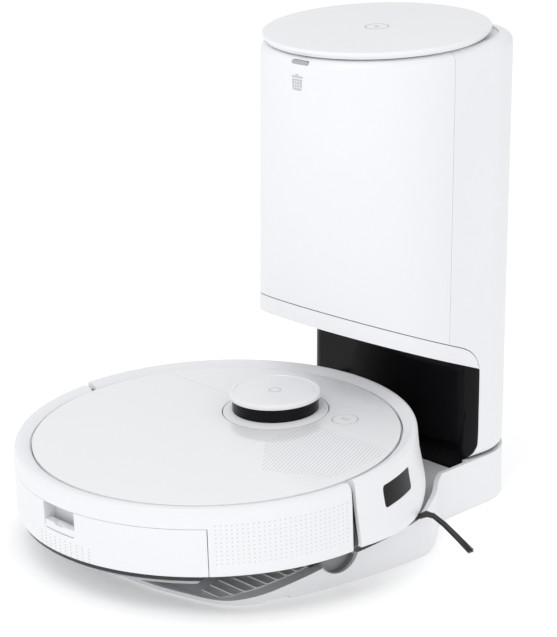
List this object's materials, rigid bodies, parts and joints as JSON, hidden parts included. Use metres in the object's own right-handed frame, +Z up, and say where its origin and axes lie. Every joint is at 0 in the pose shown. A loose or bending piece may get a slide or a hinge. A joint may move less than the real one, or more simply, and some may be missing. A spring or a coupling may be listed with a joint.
{
  "type": "robot vacuum with self-emptying dock",
  "caption": "Round mopping robot vacuum parked nose-in on the ramp of its white dust-collecting dock tower.",
  "frame": {"origin": "on the floor, at the middle of the underside of the dock's middle foot strip, straight under the parked robot's centre", "axes": "+Z up, +Y from the robot towards the dock tower and the wall, +X to the right of someone facing the tower"},
  "size_m": [0.412, 0.4672, 0.4358],
  "materials": {
    "white_body": "satin",
    "white_gloss": "polished",
    "black_gloss": "polished",
    "black_plastic": "fine texture",
    "dark_plastic": "fine texture",
    "grey_plastic": "fine texture",
    "grey_tread": "ribbed",
    "dark_rubber": "matte",
    "tyre": "matte",
    "bristle": "fibrous",
    "steel": "brushed",
    "status_lens": "satin",
    "board": "satin",
    "bag_paper": "non-woven",
    "filter_paper": "pleated",
    "mop_cloth": "microfibre pile"
  },
  "bodies": {
    "dock": {"dock_base": "white_body", "ramp_tread_left": "grey_tread", "ramp_tread_right": "grey_tread", "foot_strip_front": "dark_rubber", "foot_strip_middle": "dark_rubber", "foot_strip_rear": "dark_rubber", "dock_contact_left": "steel", "dock_contact_right": "steel", "port_seal": "dark_rubber", "dust_duct": "dark_plastic", "tower_shell": "white_body", "tower_front_cover": "white_body", "tower_skirt": "white_body", "recess_panel": "black_gloss", "bag_deck": "grey_plastic", "bag_collar": "grey_plastic", "dust_bag": "bag_paper", "dock_fan": "dark_plastic", "status_light": "status_lens", "power_inlet": "black_plastic", "dock_hinge_pin": "steel"},
    "dock_lid": {"dock_lid": "white_body"},
    "robot": {"chassis": "dark_plastic", "upper_shell": "white_body", "turret_collar": "white_body", "turret_window": "black_gloss", "turret_cap": "white_gloss", "dust_bin": "grey_plastic", "bin_filter": "filter_paper", "blower": "dark_plastic", "battery_pack": "black_plastic", "main_board": "board", "brush_guard": "black_plastic", "lid_pin_left": "steel", "lid_pin_right": "steel"},
    "top_lid": {"top_lid": "white_gloss"},
    "bumper": {"bumper": "white_body", "sensor_window_left": "black_gloss", "sensor_window_right": "black_gloss"},
    "lidar": {"lidar_rotor": "black_plastic"},
    "power_button": {"power_button": "white_gloss"},
    "water_tank": {"water_tank": "white_body", "mop_plate": "black_plastic", "mop_pad": "mop_cloth"},
    "tank_release": {"tank_release": "white_body"},
    "brush_roller": {"brush_roller": "dark_rubber"},
    "caster_fork": {"caster_fork": "grey_plastic"},
    "caster_wheel": {"caster_wheel": "tyre"},
    "wheel_arm_left": {"wheel_arm_left": "grey_plastic"},
    "drive_wheel_left": {"drive_tyre_left": "tyre", "wheel_hub_left": "grey_plastic"},
    "side_brush_left": {"side_brush_left": "dark_rubber", "side_bristles_left": "bristle"},
    "wheel_arm_right": {"wheel_arm_right": "grey_plastic"},
    "drive_wheel_right": {"drive_tyre_right": "tyre", "wheel_hub_right": "grey_plastic"},
    "side_brush_right": {"side_brush_right": "dark_rubber", "side_bristles_right": "bristle"}
  },
  "joints": [
    {"name": "robot_undock", "type": "slide", "parent": "dock", "child": "robot", "axis": [0, -0.9989, -0.0468], "range_m": [0, 0.4]},
    {"name": "dock_lid_hinge", "type": "hinge", "parent": "dock", "child": "dock_lid", "pos_m": [0, 0.288, 0.4252], "axis": [-1, 0, 0], "range_deg": [0, 80]},
    {"name": "top_lid_hinge", "type": "hinge", "parent": "robot", "child": "top_lid", "pos_m": [0, 0.06205, 0.1002], "axis": [-1, 0, 0], "range_deg": [0, 70]},
    {"name": "bumper_press", "type": "slide", "parent": "robot", "child": "bumper", "axis": [0, -0.9989, -0.0468], "range_m": [0, 0.002], "stiffness_N_per_m": 600},
    {"name": "power_button_press", "type": "slide", "parent": "robot", "child": "power_button", "axis": [0, 0.0468, -0.9989], "range_m": [0, 0.0012], "stiffness_N_per_m": 700},
    {"name": "lidar_spin", "type": "hinge", "parent": "robot", "child": "lidar", "pos_m": [0, 0.07016, 0.09808], "axis": [0, -0.0468, 0.9989], "continuous": true},
    {"name": "tank_pull", "type": "slide", "parent": "robot", "child": "water_tank", "axis": [0, -0.9989, -0.0468], "range_m": [0, 0.12]},
    {"name": "tank_release_press", "type": "slide", "parent": "water_tank", "child": "tank_release", "axis": [0, 0.9989, 0.0468], "range_m": [0, 0.0025], "stiffness_N_per_m": 500},
    {"name": "brush_spin", "type": "hinge", "parent": "robot", "child": "brush_roller", "pos_m": [0, 0.03456, 0.04585], "axis": [1, 0, 0], "continuous": true},
    {"name": "caster_swivel", "type": "hinge", "parent": "robot", "child": "caster_fork", "pos_m": [0, 0.13043, 0.05084], "axis": [0, -0.0468, 0.9989], "continuous": true},
    {"name": "caster_roll", "type": "hinge", "parent": "caster_fork", "child": "caster_wheel", "pos_m": [0, 0.12378, 0.04332], "axis": [1, 0, 0], "continuous": true},
    {"name": "wheel_arm_left_swing", "type": "hinge", "parent": "robot", "child": "wheel_arm_left", "pos_m": [-0.1, 0.0396, 0.06661], "axis": [1, 0, 0], "range_deg": [-1.5, 14], "stiffness_Nm_per_rad": 6},
    {"name": "drive_wheel_left_roll", "type": "hinge", "parent": "wheel_arm_left", "child": "drive_wheel_left", "pos_m": [-0.118, 0.00206, 0.05585], "axis": [1, 0, 0], "continuous": true},
    {"name": "side_brush_left_spin", "type": "hinge", "parent": "robot", "child": "side_brush_left", "pos_m": [-0.11, 0.09513, 0.03518], "axis": [0, -0.0468, 0.9989], "continuous": true, "deforming": ["side_bristles_left"]},
    {"name": "wheel_arm_right_swing", "type": "hinge", "parent": "robot", "child": "wheel_arm_right", "pos_m": [0.1, 0.0396, 0.06661], "axis": [1, 0, 0], "range_deg": [-1.5, 14], "stiffness_Nm_per_rad": 6},
    {"name": "drive_wheel_right_roll", "type": "hinge", "parent": "wheel_arm_right", "child": "drive_wheel_right", "pos_m": [0.118, 0.00206, 0.05585], "axis": [1, 0, 0], "continuous": true},
    {"name": "side_brush_right_spin", "type": "hinge", "parent": "robot", "child": "side_brush_right", "pos_m": [0.11, 0.09513, 0.03518], "axis": [0, -0.0468, 0.9989], "continuous": true, "deforming": ["side_bristles_right"]}
  ]
}
